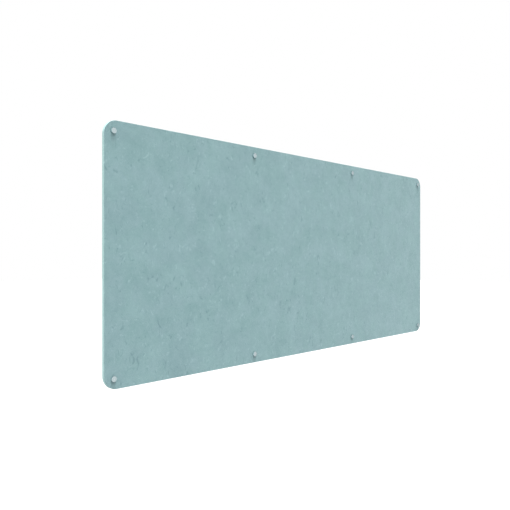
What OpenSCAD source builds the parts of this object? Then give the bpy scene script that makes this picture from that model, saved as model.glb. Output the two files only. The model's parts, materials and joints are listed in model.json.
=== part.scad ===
// Acoustic pinboard: a pressed-felt board that stands off a wall on capped round fixings.
// Origin: the middle of the fixing pattern, in the plane of the wall.
// +X runs along the board to the right, -Y points out of the wall at the viewer, +Z is up.

/* [Board] */
// Length of the board along the wall
board_w = 2400; // [1200:10:3000]
// Height of the board
board_h = 1000; // [500:10:1500]
// Thickness of the pressed felt
board_t = 12; // [9:0.5:24]
// Radius of the board's four corners
corner_r = 55; // [20:1:80]

/* [Fixing pattern] */
// Distance from the board's edges to the centres of the outer fixings
edge_inset = 40; // [32:1:60]
// Number of fixings along each long edge
fixings_per_edge = 4; // [2:1:6]

/* [Caps] */
// Diameter of the caps and of the barrels behind the board
cap_d = 22; // [18:0.5:30]
// Thickness of a cap
cap_t = 5; // [4:0.25:8]
// Depth of the tapped hole in a cap's back
cap_tap = 3; // [2:0.25:3.5]
// Bevel round a cap's front edge
cap_bevel = 0.3; // [0.2:0.1:1]

/* [Barrels] */
// Length of a barrel, which is the gap kept behind the board's rear washers
barrel_l = 25; // [20:0.5:60]
// Thickness of a barrel's floor, which the wall screw clamps
barrel_floor = 5; // [4:0.5:8]
// Bevel round both ends of a barrel
barrel_bevel = 0.5; // [0.2:0.1:1]

/* [Washers] */
// Thickness of the soft washers on both faces of the board
washer_t = 1; // [0.5:0.25:2]
// How far a washer's rim stands in from the cap's rim
washer_setback = 0.5; // [0:0.25:2]

/* [Studs] */
// Diameter of the threaded hole in barrels and caps
thread_d = 10; // [8:0.5:12]
// Pitch of the stud's thread
thread_pitch = 1.5; // [1:0.25:2]
// Length of stud that is screwed into the barrel
stud_grip = 12; // [8:0.5:14]
// Clearance on radius between a stud and the threaded holes
thread_play = 0.1; // [0.02:0.02:0.2]
// Clearance on radius between a stud and the holes in the board
board_play = 1; // [0.5:0.25:2]
// Clearance on radius between a stud and the holes in the washers
washer_play = 0.25; // [0.1:0.05:0.5]

/* [Wall screws] */
// Diameter over the wood thread
screw_d = 4; // [3:0.25:5]
// Length from the top of the head to the tip
screw_l = 40; // [25:5:60]
// Diameter of the plain shank under the head
screw_shank_d = 2.9; // [2:0.1:3]
// Diameter at the bottom of the wood thread
screw_root_d = 2.6; // [2:0.1:2.8]
// Pitch of the wood thread
screw_pitch = 1.8; // [1.5:0.1:2.5]
// Diameter of the countersunk head
screw_head_d = 7.6; // [6:0.1:7.8]
// Height of the straight rim above the head's cone
screw_rim = 0.3; // [0.1:0.1:0.6]
// Length of the tapered tip
screw_tip_l = 4; // [2:0.5:8]
// Length of each arm of the cross in the head
cross_l = 4.2; // [3:0.1:5]
// Width of each arm of the cross in the head
cross_w = 0.9; // [0.5:0.1:1.2]
// Depth of the cross in the head
cross_depth = 1.6; // [1:0.1:2]
// Clearance on radius between a wall screw and its hole
screw_play = 0.25; // [0.1:0.05:0.5]
// Clearance on radius between a screw's head and its countersink
head_play = 0.1; // [0.05:0.05:0.3]

/* [Hidden] */
$fn = 96;

// A thread's crest is flat for this share of its pitch
crest_share = 0.125;
// A stud's thread is cut this share of its pitch deep
thread_depth_share = 0.61;
// Half of the angle between two thread flanks
flank_angle = 30;
// Cuts run this far past the faces that they open
overrun = 0.5;

// Radii of what shares the fixing's axis
cap_r = cap_d / 2;
washer_r = cap_r - washer_setback;
thread_r = thread_d / 2;
stud_r = thread_r - thread_play;
stud_root_r = stud_r - thread_depth_share * thread_pitch;
board_hole_r = stud_r + board_play;
washer_hole_r = stud_r + washer_play;
screw_r = screw_d / 2;
screw_hole_r = screw_r + screw_play;
head_r = screw_head_d / 2;
sink_r = head_r + head_play;

// Distances from the wall to each layer of a fixing
rear_washer_z = barrel_l;
board_back_z = rear_washer_z + washer_t;
board_front_z = board_back_z + board_t;
cap_z = board_front_z + washer_t;
stud_z = barrel_l - stud_grip;
stud_l = cap_z + cap_tap - stud_z;
screw_tip_z = barrel_floor - screw_l;

// Centres of the fixings, left to right, along the top edge and then the bottom edge
pattern_w = board_w - 2 * edge_inset;
pattern_h = board_h - 2 * edge_inset;
column_step = board_w / (fixings_per_edge - 1);

// The outer fixings keep the inset, and the inner ones divide the board's length evenly
function fixing_x(column) =
    column == 0 ? -pattern_w / 2
    : column == fixings_per_edge - 1 ? pattern_w / 2
    : -board_w / 2 + column * column_step;

fixings = [
    for (row = [["top", 1], ["bottom", -1]])
    for (column = [0 : fixings_per_edge - 1])
    [str(row[0], "_", column + 1), fixing_x(column), row[1] * pattern_h / 2]
];

FIXING_PIECES = ["cap", "stud", "front_washer", "rear_washer", "barrel"];

// Local z is the distance from the wall, and local x and y run along and up the board
module facing_out() {
    rotate([90, 0, 0]) children();
}

module at_fixing(fixing) {
    facing_out() translate([fixing[1], fixing[2], 0]) children();
}

// One outline point per corner of each thread ring, from the ring at z = start upward
function flank_l(crest_r, root_r) = (crest_r - root_r) * tan(flank_angle);
function ring_l(crest_r, root_r, pitch) = 2 * flank_l(crest_r, root_r) + crest_share * pitch;
function thread_outline(start, rings, pitch, crest_r, root_r) = [
    for (ring = [0 : rings - 1])
    for (point = [
        [root_r, 0],
        [crest_r, flank_l(crest_r, root_r)],
        [crest_r, flank_l(crest_r, root_r) + crest_share * pitch],
        [root_r, ring_l(crest_r, root_r, pitch)]
    ])
    [point[0], start + ring * pitch + point[1]]
];

module rounded_rectangle(width, height, radius) {
    square([width - 2 * radius, height], center = true);
    square([width, height - 2 * radius], center = true);
    for (side = [-1, 1], end = [-1, 1])
        translate([side * (width / 2 - radius), end * (height / 2 - radius)])
            circle(r = radius);
}

module board() {
    color([0.58, 0.70, 0.71])
    facing_out() translate([0, 0, board_back_z])
    linear_extrude(board_t) difference() {
        rounded_rectangle(board_w, board_h, corner_r);
        for (fixing = fixings)
            translate([fixing[1], fixing[2]]) circle(r = board_hole_r);
    }
}

module cap() {
    color([0.84, 0.85, 0.86])
    translate([0, 0, cap_z]) rotate_extrude() polygon([
        [0, cap_tap],
        [thread_r, cap_tap],
        [thread_r, 0],
        [cap_r, 0],
        [cap_r, cap_t - cap_bevel],
        [cap_r - cap_bevel, cap_t],
        [0, cap_t]
    ]);
}

module stud() {
    ring = ring_l(stud_r, stud_root_r, thread_pitch);
    rings = floor((stud_l - ring) / thread_pitch);
    start = (stud_l - (rings - 1) * thread_pitch - ring) / 2;
    color([0.62, 0.63, 0.64])
    translate([0, 0, stud_z]) rotate_extrude() polygon(concat(
        [[0, 0], [stud_root_r, 0]],
        thread_outline(start, rings, thread_pitch, stud_r, stud_root_r),
        [[stud_root_r, stud_l], [0, stud_l]]
    ));
}

module washer(z) {
    color([0.12, 0.12, 0.13])
    translate([0, 0, z]) difference() {
        cylinder(h = washer_t, r = washer_r);
        translate([0, 0, -overrun]) cylinder(h = washer_t + 2 * overrun, r = washer_hole_r);
    }
}

module barrel() {
    color([0.80, 0.81, 0.82])
    rotate_extrude() polygon([
        [screw_hole_r, 0],
        [cap_r - barrel_bevel, 0],
        [cap_r, barrel_bevel],
        [cap_r, barrel_l - barrel_bevel],
        [cap_r - barrel_bevel, barrel_l],
        [thread_r, barrel_l],
        [thread_r, barrel_floor],
        [sink_r, barrel_floor],
        [sink_r, barrel_floor - screw_rim],
        [screw_hole_r, barrel_floor - screw_rim - (sink_r - screw_hole_r)]
    ]);
}

// The topmost thread ring lies just behind the wall's face, clear of the barrel
module wall_screw() {
    root_r = screw_root_d / 2;
    shank_r = screw_shank_d / 2;
    ring = ring_l(screw_r, root_r, screw_pitch);
    last_ring = -screw_play - ring + flank_l(screw_r, root_r);
    taper_z = screw_tip_z + screw_tip_l;
    rings = floor((last_ring - taper_z) / screw_pitch) + 1;
    first_ring = last_ring - (rings - 1) * screw_pitch;
    color([0.72, 0.70, 0.62])
    difference() {
        rotate_extrude() polygon(concat(
            [[0, screw_tip_z], [root_r, taper_z]],
            thread_outline(first_ring, rings, screw_pitch, screw_r, root_r),
            [
                [shank_r, last_ring + ring + screw_play],
                [shank_r, barrel_floor - screw_rim - (head_r - shank_r)],
                [head_r, barrel_floor - screw_rim],
                [head_r, barrel_floor],
                [0, barrel_floor]
            ]
        ));
        for (turn = [0, 90])
            rotate([0, 0, turn])
            translate([-cross_l / 2, -cross_w / 2, barrel_floor - cross_depth])
                cube([cross_l, cross_w, cross_depth + overrun]);
    }
}

module wall_screws() {
    for (fixing = fixings) at_fixing(fixing) wall_screw();
}

board();
wall_screws();
for (fixing = fixings) {
    at_fixing(fixing) cap();
    at_fixing(fixing) stud();
    at_fixing(fixing) washer(board_front_z);
    at_fixing(fixing) washer(rear_washer_z);
    at_fixing(fixing) barrel();
}
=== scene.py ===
"""The looks of the acoustic pinboard: pressed felt, turned aluminium, rubber washers and plated threads.

All lengths are in metres. The board lies in the XZ plane, and the viewer stands on its -Y side.
"""

import json
import math
from collections import namedtuple

import bmesh
import bpy
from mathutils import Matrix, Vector, geometry, noise

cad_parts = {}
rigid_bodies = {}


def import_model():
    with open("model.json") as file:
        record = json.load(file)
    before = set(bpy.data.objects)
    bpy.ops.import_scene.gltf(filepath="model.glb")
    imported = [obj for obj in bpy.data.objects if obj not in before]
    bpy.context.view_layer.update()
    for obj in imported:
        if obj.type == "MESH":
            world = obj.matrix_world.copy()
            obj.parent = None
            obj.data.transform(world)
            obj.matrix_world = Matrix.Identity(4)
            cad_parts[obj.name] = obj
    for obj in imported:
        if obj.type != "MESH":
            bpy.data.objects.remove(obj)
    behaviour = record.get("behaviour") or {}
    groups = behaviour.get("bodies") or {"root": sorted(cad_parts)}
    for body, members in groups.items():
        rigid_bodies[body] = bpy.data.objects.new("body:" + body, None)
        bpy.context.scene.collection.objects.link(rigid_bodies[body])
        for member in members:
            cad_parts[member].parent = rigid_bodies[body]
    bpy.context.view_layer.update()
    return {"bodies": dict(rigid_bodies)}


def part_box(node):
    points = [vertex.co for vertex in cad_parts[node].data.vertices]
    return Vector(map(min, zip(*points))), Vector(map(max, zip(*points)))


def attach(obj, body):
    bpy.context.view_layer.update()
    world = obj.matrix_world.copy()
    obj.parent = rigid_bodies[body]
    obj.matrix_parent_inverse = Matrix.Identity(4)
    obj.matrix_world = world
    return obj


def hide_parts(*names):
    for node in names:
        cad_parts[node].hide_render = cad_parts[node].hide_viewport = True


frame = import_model()

MM = 0.001

# The photograph's camera, in pixels of its frame: the frame's width, the lens and the row of the horizon
FRAME_W_PX = 510
LENS_PX = 589.2
HORIZON_PX = 254.78
# How far right of the frame's middle the board's long edges meet
VANISHING_PX = 555.3
# The column of the front face's left edge, and the face's height there
BOARD_LEFT_PX = 103.9
BOARD_LEFT_H_PX = 273.6
# The camera's sensor, in millimetres
SENSOR_W = 36

# Sizes of the caps, studs, barrels and washers that the frame's boxes don't give
CAP_BEVEL = 0.3 * MM
CAP_TAP = 3 * MM
THREAD_R = 5 * MM
STUD_R = 4.9 * MM
STUD_PITCH = 1.5 * MM
STUD_CUT = 0.915 * MM
STUD_LEAD = 0.4 * MM
STUD_PLAIN_TURNS = 2
BARREL_BEVEL = 0.5 * MM
BARREL_FLOOR = 5 * MM
SCREW_HOLE_R = 2.25 * MM
SINK_R = 3.9 * MM
WASHER_HOLE_R = 5.15 * MM
FILLET = 0.15 * MM

# Sizes of the wall screws
SCREW_R = 2 * MM
SCREW_ROOT_R = 1.3 * MM
SCREW_SHANK_R = 1.45 * MM
SCREW_PITCH = 1.8 * MM
SCREW_HEAD_R = 3.8 * MM
SCREW_RIM = 0.3 * MM
SCREW_GAP = 0.25 * MM
SCREW_L = 40 * MM
SCREW_TIP = 4 * MM
# Where the tip's side bends, as shares of the root's radius and of the tip's length
TIP_BEND_SHARES = (0.5, 0.4)
CROSS_L = 4.2 * MM
CROSS_W = 0.9 * MM
CROSS_DEPTH = 1.6 * MM
# How long the cross is at its foot, as a share of its length in the head's face
CROSS_FOOT_SHARE = 0.45

# The slope of a thread's flanks, and its flat crest as a share of the pitch
FLANK_ANGLE = math.radians(30)
CREST_SHARE = 0.125
# A thread climbs to its full height over a third of a turn, from this share of it
RUN_IN_PART = 3
RUN_IN_SHARE = 0.08

# Points closer together than the first are one, and a radius under the second is on the axis
SAME_POINT = 1e-7
ON_AXIS = 1e-9

# Faces that meet at more than this many degrees keep a sharp edge
TURNED_SHARP_DEG = 35
FELT_SHARP_DEG = 60

# The board's holes and corners
BOARD_HOLE_R = 5.9 * MM
CORNER_R = 55 * MM
CORNER_STEPS = 20
SHORT_SIDE_STEPS = 40
LONG_SIDE_STEPS = 96
# The corners anticlockwise from the lower right: the side that each is on, and the way on from it
CORNERS = [((1, -1), (0, 1)), ((1, 1), (-1, 0)), ((-1, 1), (0, -1)), ((-1, -1), (1, 0))]

# The felt's own shape: its eased rim, how far its faces stand proud, and their unevenness
FELT_EASE = 0.6 * MM
FELT_PROUD = 0.35 * MM
FELT_RELIEF = 0.12 * MM
RELIEF_MEAN_SHARE = 0.5
RELIEF_WAVE_SHARE = 0.3
# The washers press the felt flat out to the first radius, and it rises again over the width
NIP_R = 10.6 * MM
NIP_W = 5 * MM
# The cut edge is drawn in here and there, by up to this share of a millimetre
CUT_DRAW_SHARE = 0.12
# Its unevenness has so many waves per metre along the edge, and so many layers per metre across it
CUT_WAVES = 130
CUT_LAYERS = 900

# Where a face has points: rows in from its outline, rings about each fixing, and a grid clear of both
RIM_INSETS = [1.2 * MM, 2.5 * MM, 5 * MM]
FIXING_RINGS = [BOARD_HOLE_R, 8 * MM, NIP_R, 11.6 * MM, 12.8 * MM, 14.2 * MM, 16 * MM, 19 * MM, 24 * MM]
HOLE_STEPS = 48
GRID_STEP = 20 * MM
GRID_MARGIN = 9 * MM
GRID_CLEAR = 30 * MM
# Rows of points across the eased rim, the straight cut and the walls of the holes
RIM_STEPS = 5
CUT_STEPS = 10
DEPTH_STEPS = 6
# The kind of triangulation that fills only what the outline encloses
INSIDE_ONLY = 1

# Linear colours of the felt, from its dark fibres to its pale ones, and how unevenly its fibres took the
# dye. The cut edge's colours are about half as light again as the faces': partly the paler look of cut felt,
# partly painted light that stands in for the light falling on the edge
FACE_COLOURS = [(0.178, 0.301, 0.318), (0.256, 0.401, 0.419), (0.343, 0.506, 0.525)]
CUT_COLOURS_WITH_PAINTED_LIGHT = [(0.313, 0.501, 0.492), (0.393, 0.598, 0.589), (0.465, 0.681, 0.672)]
GREENER_DYE = (0.980, 1.000, 0.988)
BLUER_DYE = (1.003, 0.994, 1.003)
# How strongly its clouds, its flecks and its single hairs show, on the faces and on the cut edge
FACE_SHARES = (0.86, 0.52, 0.30)
CUT_SHARES = (0.5, 0.4, 0.25)
# The angle between two of the directions in which its hairs lie
HAIR_TURN_DEG = 36
# How deep its fuzz is
FACE_FUZZ = 0.07 * MM
CUT_FUZZ = 0.12 * MM

# Linear colours of the fixings. Plated metal has a colour and the tint of its blotches
ALUMINIUM = (0.73, 0.87, 0.90)
BRIGHT_ZINC = [(0.60, 0.61, 0.62), (0.55, 0.57, 0.61)]
YELLOW_ZINC = [(0.66, 0.55, 0.30), (0.62, 0.52, 0.40)]
RUBBER = (0.012, 0.012, 0.013)
# How dark turned metal gets in places, and how pale powdery rubber gets, against their colours
DULLER_SHARE = 0.93
PALER_SHARE = 1.7

SPOTS = [body.removeprefix("cap_") for body in frame["bodies"] if body.startswith("cap_")]
board_low, board_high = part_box("board")
board_front = board_low.y
board_back = board_high.y
board_half_w = (board_high.x - board_low.x) / 2
board_half_h = (board_high.z - board_low.z) / 2

# A helical thread: where its lowest turn starts, out of the wall, its turns and pitch, and its two radii
Thread = namedtuple("Thread", "start turns pitch crest_r root_r")


def fixing_centre(spot):
    """The axis of a fixing, as x and z."""
    low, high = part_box("cap_" + spot)
    return (low.x + high.x) / 2, (low.z + high.z) / 2


CENTRES = {spot: fixing_centre(spot) for spot in SPOTS}


def from_fixing(x, z):
    """The distance of a point of the board from the nearest fixing's axis."""
    return min(math.hypot(x - centre_x, z - centre_z) for centre_x, centre_z in CENTRES.values())


# Meshes

def new_object(name, data):
    """A new object in the scene."""
    made = bpy.data.objects.new(name, data)
    bpy.context.scene.collection.objects.link(made)
    return made


def face_outward(mesh, joined=0.0):
    """Turns a mesh's faces outward, once its corners that lie within a distance are joined."""
    work = bmesh.new()
    work.from_mesh(mesh)
    if joined:
        bmesh.ops.remove_doubles(work, verts=work.verts, dist=joined)
    bmesh.ops.recalc_face_normals(work, faces=work.faces)
    work.to_mesh(mesh)
    work.free()


def mesh_from(name, vertices, faces):
    """A mesh with shared corners joined and its faces turned outward."""
    mesh = bpy.data.meshes.new(name)
    mesh.from_pydata(vertices, [], faces)
    face_outward(mesh, SAME_POINT)
    return mesh


def shade(mesh, angle_deg):
    """Smooth shading, kept sharp where two faces meet at more than the angle."""
    mesh.shade_smooth()
    mesh.set_sharp_from_angle(angle=math.radians(angle_deg))


def ring_vertices(radius, out, steps):
    """A circle about a fixing's axis. The distance out of the wall is -y."""
    turn = 2 * math.pi / steps
    return [(radius * math.cos(n * turn), -out, radius * math.sin(n * turn)) for n in range(steps)]


def new_row(vertices, places):
    """Adds a row of vertices, and gives their numbers."""
    row = list(range(len(vertices), len(vertices) + len(places)))
    vertices.extend(places)
    return row


def turned_rows(vertices, outline, steps):
    """Adds the rings of a turned outline. On the axis a ring is one vertex, counted once for every step."""
    rows = []
    for radius, out in outline:
        if radius < ON_AXIS:
            rows.append(new_row(vertices, [(0, -out, 0)]) * steps)
        else:
            rows.append(new_row(vertices, ring_vertices(radius, out, steps)))
    return rows


def band_faces(rows):
    """The faces between each closed row of vertices and the next."""
    faces = []
    for near, far in zip(rows, rows[1:]):
        for n in range(len(near)):
            onward = (n + 1) % len(near)
            face = list(dict.fromkeys([near[n], near[onward], far[onward], far[n]]))
            if len(face) > 2:
                faces.append(face)
    return faces


def lathe(name, outline, closed, steps=96):
    """A turned shape. outline is (radius, distance out), and an open one starts and ends on the axis."""
    vertices = []
    rows = turned_rows(vertices, outline, steps)
    return mesh_from(name, vertices, band_faces(rows + rows[:1] if closed else rows))


def rounded(corner, before, after, size, steps=4):
    """Points that round a corner of an outline between its neighbours."""
    here = Vector(corner)
    start = here + (Vector(before) - here).normalized() * size
    end = here + (Vector(after) - here).normalized() * size
    points = []
    for n in range(steps + 1):
        t = n / steps
        points.append(tuple(start * (1 - t) ** 2 + here * 2 * t * (1 - t) + end * t * t))
    return points


def eased(outline, size, closed=True):
    """An outline with each corner rounded, but not the two ends of an open one."""
    count = len(outline)
    points = []
    for n, corner in enumerate(outline):
        if not closed and n in (0, count - 1):
            points.append(corner)
        else:
            points += rounded(corner, outline[n - 1], outline[(n + 1) % count], size)
    return points


# Threads

def flank_length(depth):
    """How far a flank runs along the axis while it climbs by the depth."""
    return depth * math.tan(FLANK_ANGLE)


def ridge_length(depth, pitch):
    """The length along the axis of the thread's ridge: its two flanks and its flat crest."""
    return 2 * flank_length(depth) + CREST_SHARE * pitch


def helix_vertices(thread, steps):
    """The four corners of the thread's ridge at each step up the helix. It runs in and out at the ends."""
    flank = flank_length(thread.crest_r - thread.root_r)
    crest = CREST_SHARE * thread.pitch
    offsets = [0, flank, flank + crest, 2 * flank + crest]
    count = thread.turns * steps
    run_in = steps // RUN_IN_PART
    vertices = []
    for n in range(count + 1):
        angle = 2 * math.pi * n / steps
        ramp = max(RUN_IN_SHARE, min(1, n / run_in, (count - n) / run_in))
        high = thread.root_r + (thread.crest_r - thread.root_r) * ramp
        for radius, offset in zip((thread.root_r, high, high, thread.root_r), offsets):
            out = thread.start + n * thread.pitch / steps + offset
            vertices.append((radius * math.cos(angle), -out, radius * math.sin(angle)))
    return vertices


def helix_faces(count, steps):
    """The ridge's flanks and crest, the root between its turns, and its two closed ends."""
    # The ridge's four corners at step n are the vertices from 4 * n on
    faces = []
    for n in range(count):
        for k in range(3):
            faces.append([4 * n + k, 4 * (n + 1) + k, 4 * (n + 1) + k + 1, 4 * n + k + 1])
    for n in range(count - steps):
        faces.append([4 * n + 3, 4 * (n + 1) + 3, 4 * (n + 1 + steps), 4 * (n + steps)])
    faces.append([0, 1, 2, 3])
    faces.append([4 * count + k for k in range(4)])
    return faces


def seam_faces(lower, upper, count, steps):
    """The faces that join the helix to the rings below and above it."""
    last_turn = 4 * (count - steps) + 3
    faces = []
    for n in range(steps - 1):
        faces.append([lower[n], lower[n + 1], 4 * (n + 1), 4 * n])
        here, onward = last_turn + 4 * (n + 1), last_turn + 4 * (n + 2)
        faces.append([upper[n + 1], upper[(n + 2) % steps], onward, here])
    # The last two take in the corners of the ridge's ends
    faces.append([lower[-1], lower[0], 0, 3, 4 * steps, 4 * (steps - 1)])
    faces.append([upper[0], upper[1], last_turn + 4, last_turn, 4 * count, 4 * count + 3])
    return faces


def threaded_rod(name, foot, top, thread, steps):
    """A rod with a true helical thread. foot and top are the outlines of its ends, from or to the axis."""
    count = thread.turns * steps
    vertices = helix_vertices(thread, steps)
    lower = turned_rows(vertices, foot, steps)
    upper = turned_rows(vertices, top, steps)
    faces = helix_faces(count, steps) + band_faces(lower) + band_faces(upper)
    faces += seam_faces(lower[-1], upper[0], count, steps)
    return mesh_from(name, vertices, faces)


# Materials

def opaque(colour):
    """A colour as the shader nodes take it."""
    return (*colour, 1)


def grey(level):
    """A grey, from 0, black, to 1, white."""
    return opaque((level,) * 3)


def add(tree, kind, inputs=None, **settings):
    """A new shader node, with its settings and its inputs set or linked."""
    made = tree.nodes.new("ShaderNode" + kind)
    for name, value in settings.items():
        setattr(made, name, value)
    for name, value in (inputs or {}).items():
        if isinstance(value, bpy.types.NodeSocket):
            tree.links.new(value, made.inputs[name])
        else:
            made.inputs[name].default_value = value
    return made


def maths(tree, operation, first, second=0.0):
    """The result of one sum."""
    return add(tree, "Math", {0: first, 1: second}, operation=operation).outputs[0]


def vector_maths(tree, operation, inputs):
    """The result of one sum of vectors."""
    return add(tree, "VectorMath", inputs, operation=operation).outputs[0]


def mixed(tree, factor, low, high, blend="MIX"):
    """A colour between two others, or blended from them. Mix takes colours at its sockets 6 and 7."""
    return add(tree, "Mix", {0: factor, 6: low, 7: high}, data_type="RGBA", blend_type=blend).outputs[2]


def remapped(tree, value, low, high, to_low=0.0, to_high=1.0):
    """A value carried smoothly from one range to another."""
    inputs = {"Value": value, "From Min": low, "From Max": high, "To Min": to_low, "To Max": to_high}
    return add(tree, "MapRange", inputs, interpolation_type="SMOOTHSTEP").outputs[0]


def moved(tree, vector, location=(0, 0, 0), rotation=(0, 0, 0), scale=(1, 1, 1)):
    """Coordinates that are scaled, turned and shifted."""
    inputs = {"Vector": vector, "Location": location, "Rotation": rotation, "Scale": scale}
    return add(tree, "Mapping", inputs).outputs[0]


def grain(tree, vector, scale, detail=3.0, roughness=0.5, distortion=0.0):
    """A cloudy noise between 0 and 1, with its scale in features per metre."""
    inputs = {"Vector": vector, "Scale": scale, "Detail": detail, "Roughness": roughness,
              "Distortion": distortion}
    return add(tree, "TexNoise", inputs).outputs["Fac"]


def bumped(tree, shader, height, strength, distance):
    """Gives a shader the small relief of a height."""
    bump = add(tree, "Bump", {"Height": height, "Strength": strength, "Distance": distance})
    tree.links.new(bump.outputs[0], shader.inputs["Normal"])


def new_material(name):
    """An empty material, its node tree, its surface shader and its coordinates."""
    material = bpy.data.materials.new(name)
    material.use_nodes = True
    tree = material.node_tree
    return material, tree, tree.nodes["Principled BSDF"], add(tree, "TexCoord").outputs["Object"]


def bent(tree, vector, scale, reach):
    """Coordinates that a soft noise draws aside by up to half the reach, so that hairs on them curve."""
    aside = add(tree, "TexNoise", {"Vector": vector, "Scale": scale, "Detail": 1.0}).outputs["Color"]
    aside = vector_maths(tree, "SUBTRACT", {0: aside, 1: (0.5, 0.5, 0.5)})
    aside = vector_maths(tree, "SCALE", {0: aside, "Scale": reach})
    return vector_maths(tree, "ADD", {0: vector, 1: aside})


def fibres(tree, vector, first_deg, along, across, sharp):
    """Fine hairs that lie in five directions: noise drawn out along each one."""
    total = None
    for angle in range(first_deg, 180, HAIR_TURN_DEG):
        turned = moved(tree, vector, rotation=(0, math.radians(angle), 0))
        drawn = moved(tree, turned, scale=(along, across, across))
        streaks = grain(tree, drawn, scale=1, detail=2.0, roughness=0.6, distortion=0.4)
        hairs = remapped(tree, streaks, low=sharp, high=sharp + 0.12)
        total = hairs if total is None else maths(tree, "MAXIMUM", total, hairs)
    return total


def clumps(tree, vector, scale, shift):
    """Sparse specks of clumped fibre, drawn out along the board's height."""
    drawn = moved(tree, vector, location=(shift, shift, 0), scale=(1, 1, 0.55))
    return remapped(tree, grain(tree, drawn, scale, detail=1.0, distortion=1.4), low=0.66, high=0.80)


def curls(tree, vector, scale, shift):
    """Sparse arcs of looped fibre: short stretches of a noise's contour lines."""
    drawn = moved(tree, vector, location=(shift, 0, shift), scale=(1, 1, 0.6))
    height = maths(tree, "SUBTRACT", grain(tree, drawn, scale, detail=0.0, distortion=0.8), 0.5)
    line = remapped(tree, maths(tree, "ABSOLUTE", height), low=0.06, high=0.02)
    aside = moved(tree, vector, location=(0, shift, -shift))
    gate = remapped(tree, grain(tree, aside, scale * 1.3, detail=1.0), low=0.60, high=0.68)
    return maths(tree, "MULTIPLY", line, gate)


def flecks(tree, first, second, hairs):
    """Two kinds of fleck, broken up by the hairs that cross them."""
    both = maths(tree, "MAXIMUM", first, second)
    return maths(tree, "MULTIPLY", both, maths(tree, "ADD", hairs, 0.6))


def felt_tone(tree, vector, pale, deep, shares):
    """How light the felt is, about 0: clouds, loops, specks and hairs. Gives the hairs alone too."""
    cloud_share, fleck_share, hair_share = shares
    clouds = grain(tree, vector, scale=11.0, detail=4.0, roughness=0.8)
    tone = maths(tree, "MULTIPLY", maths(tree, "SUBTRACT", clouds, 0.5), cloud_share)
    arcs = curls(tree, vector, scale=34.0, shift=1.7)
    loops = flecks(tree, arcs, clumps(tree, vector, scale=60.0, shift=0.0), pale)
    tone = maths(tree, "ADD", tone, maths(tree, "MULTIPLY", loops, 0.6 * fleck_share))
    small = clumps(tree, vector, scale=70.0, shift=4.3)
    specks = flecks(tree, small, clumps(tree, vector, scale=42.0, shift=8.1), deep)
    tone = maths(tree, "SUBTRACT", tone, maths(tree, "MULTIPLY", specks, fleck_share))
    hairs = maths(tree, "SUBTRACT", pale, deep)
    return maths(tree, "ADD", tone, maths(tree, "MULTIPLY", hairs, hair_share)), hairs


def felt_colour(tree, vector, tone, colours):
    """The felt's colour for its tone, under the slow change of its dye."""
    dark, middle, light = colours
    ramp = add(tree, "ValToRGB", {"Fac": maths(tree, "ADD", tone, 0.5)})
    stops = ramp.color_ramp.elements
    stops[0].position, stops[0].color = 0.0, opaque(dark)
    stops[1].position, stops[1].color = 1.0, opaque(light)
    stops.new(0.5).color = opaque(middle)
    lot = remapped(tree, grain(tree, vector, scale=13.0), low=0.35, high=0.65)
    dye = mixed(tree, lot, opaque(GREENER_DYE), opaque(BLUER_DYE))
    return mixed(tree, 1.0, ramp.outputs[0], dye, blend="MULTIPLY")


def felt(name, colours, shares, fuzz_depth):
    """Needled polyester felt: clouds, specks, looped fibres, and single light and dark hairs."""
    material, tree, shader, vector = new_material(name)
    curved = bent(tree, vector, scale=60.0, reach=12 * MM)
    pale = fibres(tree, curved, first_deg=5, along=70, across=2400, sharp=0.56)
    deep = fibres(tree, curved, first_deg=23, along=80, across=2700, sharp=0.56)
    tone, hairs = felt_tone(tree, vector, pale, deep, shares)
    tree.links.new(felt_colour(tree, vector, tone, colours), shader.inputs["Base Color"])
    fuzz = grain(tree, vector, scale=1500.0, roughness=0.6)
    height = maths(tree, "ADD", maths(tree, "MULTIPLY", hairs, 0.6), fuzz)
    bumped(tree, shader, height, strength=0.5, distance=fuzz_depth)
    rough = remapped(tree, fuzz, low=0.3, high=0.7, to_low=0.86, to_high=1.0)
    tree.links.new(rough, shader.inputs["Roughness"])
    shader.inputs["Specular IOR Level"].default_value = 0.2
    shader.inputs["Sheen Weight"].default_value = 0.19
    shader.inputs["Sheen Roughness"].default_value = 0.5
    return material


def turned_metal(name, colour, roughness):
    """Satin metal with the fine rings that a lathe leaves about the fixing's axis."""
    material, tree, shader, vector = new_material(name)
    split = add(tree, "SeparateXYZ", {0: vector})
    across = add(tree, "CombineXYZ", {0: split.outputs[0], 1: split.outputs[2]})
    radius = add(tree, "VectorMath", {0: across.outputs[0]}, operation="LENGTH").outputs["Value"]
    rings = add(tree, "CombineXYZ", {0: radius, 1: split.outputs[1]}).outputs[0]
    lines = grain(tree, rings, scale=6500.0, detail=2.0, roughness=0.7)
    blotch = grain(tree, vector, scale=300.0, roughness=0.6)
    tone = maths(tree, "ADD", maths(tree, "MULTIPLY", lines, 0.35), maths(tree, "MULTIPLY", blotch, 0.65))
    duller = tuple(c * DULLER_SHARE for c in colour)
    tree.links.new(mixed(tree, tone, opaque(duller), opaque(colour)), shader.inputs["Base Color"])
    rough = remapped(tree, tone, low=0.3, high=0.7, to_low=roughness - 0.05, to_high=roughness + 0.07)
    tree.links.new(rough, shader.inputs["Roughness"])
    bumped(tree, shader, lines, strength=0.15, distance=0.02 * MM)
    shader.inputs["Metallic"].default_value = 1
    return material


def plated_metal(name, colours, roughness):
    """Zinc plating, with its soft blotches of tint."""
    material, tree, shader, vector = new_material(name)
    colour, tint = colours
    blotch = grain(tree, vector, scale=400.0, detail=4.0, roughness=0.6, distortion=1.0)
    patch = remapped(tree, blotch, low=0.35, high=0.65)
    tree.links.new(mixed(tree, patch, opaque(colour), opaque(tint)), shader.inputs["Base Color"])
    haze = grain(tree, vector, scale=2500.0)
    rough = remapped(tree, haze, low=0.3, high=0.7, to_low=roughness - 0.06, to_high=roughness + 0.1)
    tree.links.new(rough, shader.inputs["Roughness"])
    shader.inputs["Metallic"].default_value = 1
    return material


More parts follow.
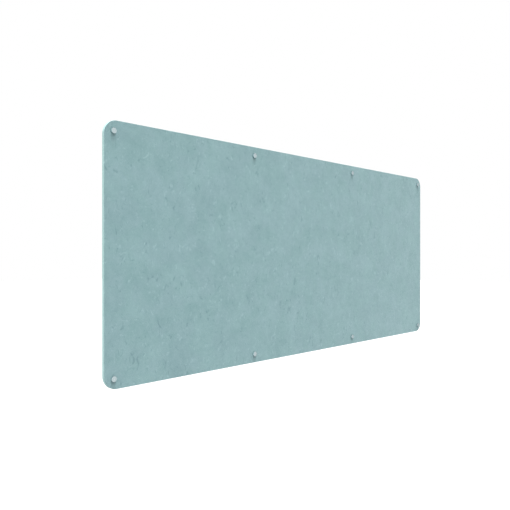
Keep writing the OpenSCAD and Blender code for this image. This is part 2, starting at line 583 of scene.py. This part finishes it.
def dark_rubber(name, colour):
    """Cut rubber sheet: nearly black, dull, and powdery in places."""
    material, tree, shader, vector = new_material(name)
    powder = grain(tree, vector, scale=700.0, detail=4.0, roughness=0.65)
    paler = tuple(c * PALER_SHARE for c in colour)
    patch = remapped(tree, powder, low=0.4, high=0.75)
    tree.links.new(mixed(tree, patch, opaque(colour), opaque(paler)), shader.inputs["Base Color"])
    rough = remapped(tree, powder, low=0.3, high=0.7, to_low=0.62, to_high=0.82)
    tree.links.new(rough, shader.inputs["Roughness"])
    bumped(tree, shader, powder, strength=0.3, distance=0.05 * MM)
    return material


def pale_floor(name):
    """A plain white floor with the faintest change of tone. It glows, and so stays white under the board."""
    material, tree, shader, vector = new_material(name)
    tone = grain(tree, vector, scale=0.8, detail=2.0)
    tree.links.new(mixed(tree, tone, grey(0.11), grey(0.13)), shader.inputs["Base Color"])
    tree.links.new(mixed(tree, tone, grey(0.97), grey(1)), shader.inputs["Emission Color"])
    shader.inputs["Emission Strength"].default_value = 1.0
    shader.inputs["Roughness"].default_value = 0.9
    return material


# The felt board

def board_outline(inset):
    """The board's outline drawn in by a distance, as x and z. Every inset gives as many points."""
    half_w = board_half_w - inset
    half_h = board_half_h - inset
    radius = CORNER_R - inset
    centre = Vector(((board_high.x + board_low.x) / 2, (board_high.z + board_low.z) / 2))
    points = []
    for corner, ((side_x, side_z), onward) in enumerate(CORNERS):
        middle = centre + Vector((side_x * (half_w - radius), side_z * (half_h - radius)))
        first = math.radians(-90 + 90 * corner)
        for n in range(CORNER_STEPS + 1):
            angle = first + math.pi / 2 * n / CORNER_STEPS
            points.append(middle + radius * Vector((math.cos(angle), math.sin(angle))))
        upright = onward[0] == 0
        run = 2 * ((half_h if upright else half_w) - radius)
        steps = SHORT_SIDE_STEPS if upright else LONG_SIDE_STEPS
        start = points[-1]
        for n in range(1, steps):
            points.append(start + Vector(onward) * run * n / steps)
    return points


def nip(x, z):
    """How far the washers press the felt at a point, from 1 under a washer to 0 away from it."""
    t = min(1, max(0, (from_fixing(x, z) - NIP_R) / NIP_W))
    return 1 - t * t * (3 - 2 * t)


def waves(x, z, side, per_metre, apart):
    """A smooth noise over a face. The front and the rear take it from planes that lie apart."""
    return noise.noise(Vector((x * per_metre, side * apart, z * per_metre)))


def relief(x, z, side):
    """The felt's low, soft unevenness, in from its proud face."""
    broad = waves(x, z, side, per_metre=7, apart=3.1)
    narrow = waves(x, z, side, per_metre=21, apart=7.7)
    return FELT_RELIEF * (RELIEF_MEAN_SHARE + RELIEF_WAVE_SHARE * broad + RELIEF_WAVE_SHARE * narrow)


def face_y(x, z, side):
    """Where the felt's front (side -1) or rear (side 1) face lies."""
    plane = board_front if side < 0 else board_back
    return plane + side * (FELT_PROUD - relief(x, z, side)) * (1 - nip(x, z))


def grid_points():
    """A loose grid over a face, short of its outline and clear of its fixings."""
    half_w = board_half_w - GRID_MARGIN
    half_h = board_half_h - GRID_MARGIN
    columns = int(2 * half_w / GRID_STEP)
    rows = int(2 * half_h / GRID_STEP)
    points = []
    for i in range(columns + 1):
        for j in range(rows + 1):
            x = -half_w + 2 * half_w * i / columns
            z = -half_h + 2 * half_h * j / rows
            over_x = abs(x) - (board_half_w - CORNER_R)
            over_z = abs(z) - (board_half_h - CORNER_R)
            outside = over_x > 0 and over_z > 0 and math.hypot(over_x, over_z) > CORNER_R - GRID_MARGIN
            if not outside and from_fixing(x, z) > GRID_CLEAR:
                points.append(Vector((x, z)))
    return points


def face_points():
    """The points of one face, and the loops of them that are its outline and its holes."""
    points = board_outline(FELT_EASE)
    loops = [list(range(len(points)))]
    for inset in RIM_INSETS:
        points += board_outline(inset)
    for centre_x, centre_z in CENTRES.values():
        loops.append(list(range(len(points), len(points) + HOLE_STEPS)))
        for radius in FIXING_RINGS:
            for n in range(HOLE_STEPS):
                angle = 2 * math.pi * n / HOLE_STEPS
                aside, up = radius * math.cos(angle), radius * math.sin(angle)
                points.append(Vector((centre_x + aside, centre_z + up)))
    return points + grid_points(), loops


def in_hole(corners):
    """Whether a triangle of the face lies in one of the board's round holes."""
    middle = sum(corners, Vector((0, 0))) / 3
    return from_fixing(middle.x, middle.y) < BOARD_HOLE_R


def triangulated(points, loops):
    """A face's points and triangles without its holes, and the new number of each point that went in."""
    edges = [(loop[n], loop[(n + 1) % len(loop)]) for loop in loops for n in range(len(loop))]
    found, _, triangles, origins, _, _ = geometry.delaunay_2d_cdt(points, edges, [], INSIDE_ONLY, SAME_POINT)
    triangles = [triangle for triangle in triangles if not in_hole([found[n] for n in triangle])]
    where = {source: n for n, sources in enumerate(origins) for source in sources}
    return found, triangles, where


def edge_levels():
    """How far in, and at what y, each row of the board's edge lies: the eased rims and the straight cut."""
    rim = []
    for n in range(1, RIM_STEPS + 1):
        t = math.pi / 2 * n / RIM_STEPS
        rim.append((FELT_EASE * (1 - math.sin(t)), board_front + FELT_EASE * (1 - math.cos(t))))
    low_y, high_y = board_front + FELT_EASE, board_back - FELT_EASE
    straight = [(0.0, low_y + (high_y - low_y) * n / CUT_STEPS) for n in range(1, CUT_STEPS)]
    return rim + straight + [(inset, board_front + board_back - y) for inset, y in reversed(rim)]


def edge_places(inset, y):
    """The places of one row of the edge, drawn in a little here and there as a cut leaves them."""
    places = []
    for point, inner in zip(board_outline(inset), board_outline(inset + MM)):
        rough = noise.noise(Vector((point.x * CUT_WAVES, y * CUT_LAYERS, point.y * CUT_WAVES)))
        drawn = point.lerp(inner, CUT_DRAW_SHARE * (0.5 + 0.5 * rough))
        places.append((drawn.x, y, drawn.y))
    return places


def hole_places(points, loop):
    """The places of each row of a hole's wall between the two faces."""
    depths = [board_front + (board_back - board_front) * n / DEPTH_STEPS for n in range(1, DEPTH_STEPS)]
    return [[(points[n].x, y, points[n].y) for n in loop] for y in depths]


def felt_mesh():
    """The whole slab: both faces, the eased and cut edge, and the walls of the eight holes."""
    points, loops = face_points()
    found, triangles, where = triangulated(points, loops)
    vertices, faces = [], []
    rims = {}
    for side in (-1, 1):
        numbers = new_row(vertices, [(p.x, face_y(p.x, p.y, side), p.y) for p in found])
        faces += [[numbers[n] for n in triangle] for triangle in triangles]
        rims[side] = [[numbers[where[n]] for n in loop] for loop in loops]
    pressed = len(faces)
    walls = [[edge_places(inset, y) for inset, y in edge_levels()]]
    walls += [hole_places(points, loop) for loop in loops[1:]]
    for front, rear, wall in zip(rims[-1], rims[1], walls):
        faces += band_faces([front] + [new_row(vertices, places) for places in wall] + [rear])
    mesh = bpy.data.meshes.new("felt_slab")
    mesh.from_pydata(vertices, [], faces)
    mesh.polygons.foreach_set("material_index", [0] * pressed + [1] * (len(faces) - pressed))
    face_outward(mesh)
    return mesh


def felt_board():
    """The board, pressed on its faces and cut round its edge and in its holes."""
    mesh = felt_mesh()
    mesh.materials.append(felt("pressed_felt", FACE_COLOURS, FACE_SHARES, FACE_FUZZ))
    # The cut felt's colours carry painted light: the edge is made lighter than the faces, partly because cut
    # felt is paler and partly to stand in for the light falling on it
    mesh.materials.append(felt("cut_felt", CUT_COLOURS_WITH_PAINTED_LIGHT, CUT_SHARES, CUT_FUZZ))
    shade(mesh, FELT_SHARP_DEG)
    board = new_object("felt_slab", mesh)
    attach(board, "root")
    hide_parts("board")


# The fixings

def extent(kind):
    """Where a turned CAD node starts and ends, out of the wall, and its radius."""
    low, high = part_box(kind + "_" + SPOTS[0])
    return -high.y, -low.y, (high.x - low.x) / 2


def cap_mesh():
    """A cap: a bevelled disc with a hole for the stud in its back."""
    seat, front, radius = extent("cap")
    corners = [
        (0, seat + CAP_TAP), (THREAD_R, seat + CAP_TAP), (THREAD_R, seat), (radius, seat),
        (radius, front - CAP_BEVEL), (radius - CAP_BEVEL, front), (0, front),
    ]
    return lathe("turned_cap", eased(corners, FILLET, closed=False), closed=False)


def barrel_mesh():
    """A barrel: a bore for the stud from the front, and a countersunk hole through its floor."""
    _, length, radius = extent("barrel")
    sink_foot = BARREL_FLOOR - SCREW_RIM - (SINK_R - SCREW_HOLE_R)
    corners = [
        (SCREW_HOLE_R, 0), (radius - BARREL_BEVEL, 0), (radius, BARREL_BEVEL),
        (radius, length - BARREL_BEVEL), (radius - BARREL_BEVEL, length), (THREAD_R, length),
        (THREAD_R, BARREL_FLOOR), (SINK_R, BARREL_FLOOR), (SINK_R, BARREL_FLOOR - SCREW_RIM),
        (SCREW_HOLE_R, sink_foot),
    ]
    return lathe("turned_barrel", eased(corners, FILLET / 2), closed=True)


def washer_mesh(kind):
    """A flat ring of rubber."""
    rear, front, radius = extent(kind)
    corners = [(WASHER_HOLE_R, rear), (radius, rear), (radius, front), (WASHER_HOLE_R, front)]
    return lathe("rubber_" + kind, eased(corners, FILLET), closed=True, steps=72)


def stud_mesh():
    """A stud, threaded between the bevelled leads at its two ends."""
    foot, top, _ = extent("stud")
    root_r = STUD_R - STUD_CUT
    turns = int((top - foot) / STUD_PITCH) - STUD_PLAIN_TURNS
    start = foot + (top - foot - turns * STUD_PITCH - ridge_length(STUD_CUT, STUD_PITCH)) / 2
    thread = Thread(start, turns, STUD_PITCH, STUD_R, root_r)
    below = [(0, foot), (root_r - STUD_LEAD, foot), (root_r, foot + STUD_LEAD)]
    above = [(root_r, top - STUD_LEAD), (root_r - STUD_LEAD, top), (0, top)]
    return threaded_rod("threaded_stud", below, above, thread, steps=48)


def wall_screw_mesh():
    """A countersunk wood screw, threaded from just behind the wall's face down to its tip."""
    tip = BARREL_FLOOR - SCREW_L
    taper = tip + SCREW_TIP
    ridge = ridge_length(SCREW_R - SCREW_ROOT_R, SCREW_PITCH)
    turns = int((-SCREW_GAP - ridge - taper) / SCREW_PITCH)
    thread = Thread(-SCREW_GAP - ridge - turns * SCREW_PITCH, turns, SCREW_PITCH, SCREW_R, SCREW_ROOT_R)
    bend_r, bend_out = TIP_BEND_SHARES
    below = [(0, tip), (SCREW_ROOT_R * bend_r, tip + SCREW_TIP * bend_out), (SCREW_ROOT_R, taper)]
    sink = BARREL_FLOOR - SCREW_RIM
    above = [
        (SCREW_SHANK_R, SCREW_GAP), (SCREW_SHANK_R, sink - (SCREW_HEAD_R - SCREW_SHANK_R)),
        (SCREW_HEAD_R, sink), (SCREW_HEAD_R, BARREL_FLOOR), (0, BARREL_FLOOR),
    ]
    return cut_cross(threaded_rod("wood_screw", below, above, thread, steps=32))


def cross_blades():
    """Two crossed blades that taper into the screw's head and stand out of its face."""
    work = bmesh.new()
    for turn in (0, math.pi / 2):
        for vertex in bmesh.ops.create_cube(work, size=1)["verts"]:
            deep = vertex.co.z < 0
            x = vertex.co.x * CROSS_L * (CROSS_FOOT_SHARE if deep else 1)
            y = vertex.co.y * CROSS_W
            out = BARREL_FLOOR + (-CROSS_DEPTH if deep else CROSS_W)
            aside = x * math.cos(turn) - y * math.sin(turn)
            up = x * math.sin(turn) + y * math.cos(turn)
            vertex.co = (aside, -out, up)
    bmesh.ops.recalc_face_normals(work, faces=work.faces)
    blades = bpy.data.meshes.new("cross_blades")
    work.to_mesh(blades)
    work.free()
    return blades


def cut_cross(mesh):
    """The screw with the cross cut in its head."""
    cutter = new_object("cross_blades", cross_blades())
    blank = new_object("screw_blank", mesh)
    cut = blank.modifiers.new("cross", "BOOLEAN")
    cut.operation, cut.object, cut.solver = "DIFFERENCE", cutter, "EXACT"
    cut.use_self = True
    ready = blank.evaluated_get(bpy.context.evaluated_depsgraph_get())
    done = bpy.data.meshes.new_from_object(ready)
    for thing in (cutter, blank):
        bpy.data.objects.remove(thing)
    return done


def wall_screws(mesh, material):
    """All eight screws as one piece, because they share a CAD node."""
    work = bmesh.new()
    for x, z in CENTRES.values():
        before = len(work.verts)
        work.from_mesh(mesh)
        work.verts.ensure_lookup_table()
        for vertex in work.verts[before:]:
            vertex.co += Vector((x, 0, z))
    joined = bpy.data.meshes.new("plated_wall_screws")
    work.to_mesh(joined)
    work.free()
    joined.materials.append(material)
    shade(joined, TURNED_SHARP_DEG)
    piece = new_object("plated_wall_screws", joined)
    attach(piece, "root")
    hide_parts("wall_screws")


def place(mesh, spot, body, node):
    """A copy of a turned mesh on a fixing's axis, standing for its CAD node."""
    x, z = CENTRES[spot]
    piece = new_object(mesh.name + "_" + spot, mesh)
    piece.location = (x, 0, z)
    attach(piece, body)
    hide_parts(node)


def fixings():
    """Each fixing's cap, stud, washers and barrel, and the wall screws."""
    satin = turned_metal("satin_aluminium", ALUMINIUM, roughness=0.24)
    zinc = plated_metal("bright_zinc", BRIGHT_ZINC, roughness=0.32)
    yellow = plated_metal("yellow_zinc", YELLOW_ZINC, roughness=0.34)
    rubber = dark_rubber("dark_rubber", RUBBER)
    kinds = [
        ("cap", cap_mesh(), satin, "cap_", "satin_aluminium"),
        ("stud", stud_mesh(), zinc, "cap_", "zinc_steel"),
        ("front_washer", washer_mesh("front_washer"), rubber, "washer_", "black_rubber"),
        ("rear_washer", washer_mesh("rear_washer"), rubber, None, "black_rubber"),
        ("barrel", barrel_mesh(), satin, None, "satin_aluminium"),
    ]
    for kind, mesh, material, body, slot in kinds:
        mesh.materials.append(material)
        shade(mesh, TURNED_SHARP_DEG)
        for spot in SPOTS:
            place(mesh, spot, body + spot if body else "root", kind + "_" + spot)
    wall_screws(wall_screw_mesh(), yellow)


# The stage

FLOOR_DROP = 1.0
FLOOR_SIZE = 60.0
# The broad soft lights of the surround: the direction to each, how far from it the light reaches, as the
# cosine of the angle where it ends, and its strength
SOFT_LIGHTS = [
    ((-1, 0, 0), 0.0, 0.80),
    ((0, -1, 0), 0.0, 0.42),
    ((0.7, -0.7, 0), 0.3, 0.38),
    ((-0.6, 0.8, 0.1), 0.0, 0.74),
    ((0.5, 0.8, 0.3), 0.0, 1.20),
]
# The lamps overhead, one close to the wall and one further out: the direction, strength and angle of each
LAMPS = {
    "wall_lamp": ((0.02, -0.16, 0.98), 3.8, 12),
    "room_lamp": ((0, -0.5, 0.86), 1.55, 9),
}


def floor():
    """A plain pale floor below the board."""
    half = FLOOR_SIZE / 2
    z = board_low.z - FLOOR_DROP
    mesh = bpy.data.meshes.new("floor")
    corners = [(-half, -half, z), (half, -half, z), (half, half, z), (-half, half, z)]
    mesh.from_pydata(corners, [], [(0, 1, 2, 3)])
    mesh.materials.append(pale_floor("pale_floor"))
    plane = new_object("floor", mesh)
    plane.visible_diffuse = False
    plane.visible_glossy = False


def sun(name, toward, strength, angle_deg):
    """A soft light from far away, given by the direction to it, which metal doesn't mirror."""
    light = bpy.data.lights.new(name, "SUN")
    light.energy = strength
    light.angle = math.radians(angle_deg)
    lamp = new_object(name, light)
    lamp.rotation_mode = "QUATERNION"
    lamp.rotation_quaternion = Vector(toward).normalized().to_track_quat("Z", "Y")
    lamp.visible_glossy = False


def surround():
    """A white background, with the broad soft lights that the board and the fixings see."""
    world = bpy.data.worlds.new("white_surround")
    world.use_nodes = True
    tree = world.node_tree
    sky = add(tree, "TexCoord").outputs["Generated"]
    glow = 0.0
    for toward, reach, strength in SOFT_LIGHTS:
        side = add(tree, "VectorMath", {0: sky, 1: Vector(toward).normalized()}, operation="DOT_PRODUCT")
        glow = maths(tree, "ADD", glow, remapped(tree, side.outputs["Value"], reach, 1.0, 0.0, strength))
    seen = add(tree, "LightPath").outputs["Is Camera Ray"]
    # The Mix node takes numbers at its sockets 2 and 3
    strength = add(tree, "Mix", {0: seen, 2: glow, 3: 1.0}, data_type="FLOAT").outputs[0]
    tree.links.new(strength, tree.nodes["Background"].inputs["Strength"])
    tree.nodes["Background"].inputs["Color"].default_value = grey(1)
    bpy.context.scene.world = world


def lights():
    """The white surround and the two lamps."""
    surround()
    for name, (toward, strength, angle_deg) in LAMPS.items():
        sun(name, toward, strength, angle_deg)
    bpy.context.scene.view_settings.view_transform = "Standard"


def camera():
    """The photograph's camera: level, at the board's mid-height, and turned toward its far end."""
    turn = math.atan(VANISHING_PX / LENS_PX)
    depth = LENS_PX * (board_high.z - board_low.z) / BOARD_LEFT_H_PX
    aside = (BOARD_LEFT_PX - FRAME_W_PX / 2) * depth / LENS_PX
    forward = Vector((math.cos(turn), math.sin(turn), 0))
    rightward = Vector((math.sin(turn), -math.cos(turn), 0))
    left_edge = Vector((board_low.x, board_front, (board_low.z + board_high.z) / 2))
    lens = bpy.data.cameras.new("camera")
    lens.sensor_width = SENSOR_W
    lens.lens = LENS_PX * SENSOR_W / FRAME_W_PX
    lens.shift_y = (HORIZON_PX - FRAME_W_PX / 2) / FRAME_W_PX
    eye = new_object("camera", lens)
    eye.location = left_edge - forward * depth - rightward * aside
    eye.rotation_mode = "QUATERNION"
    eye.rotation_quaternion = forward.to_track_quat("-Z", "Y")
    bpy.context.scene.camera = eye


camera()
floor()
lights()
felt_board()
fixings()
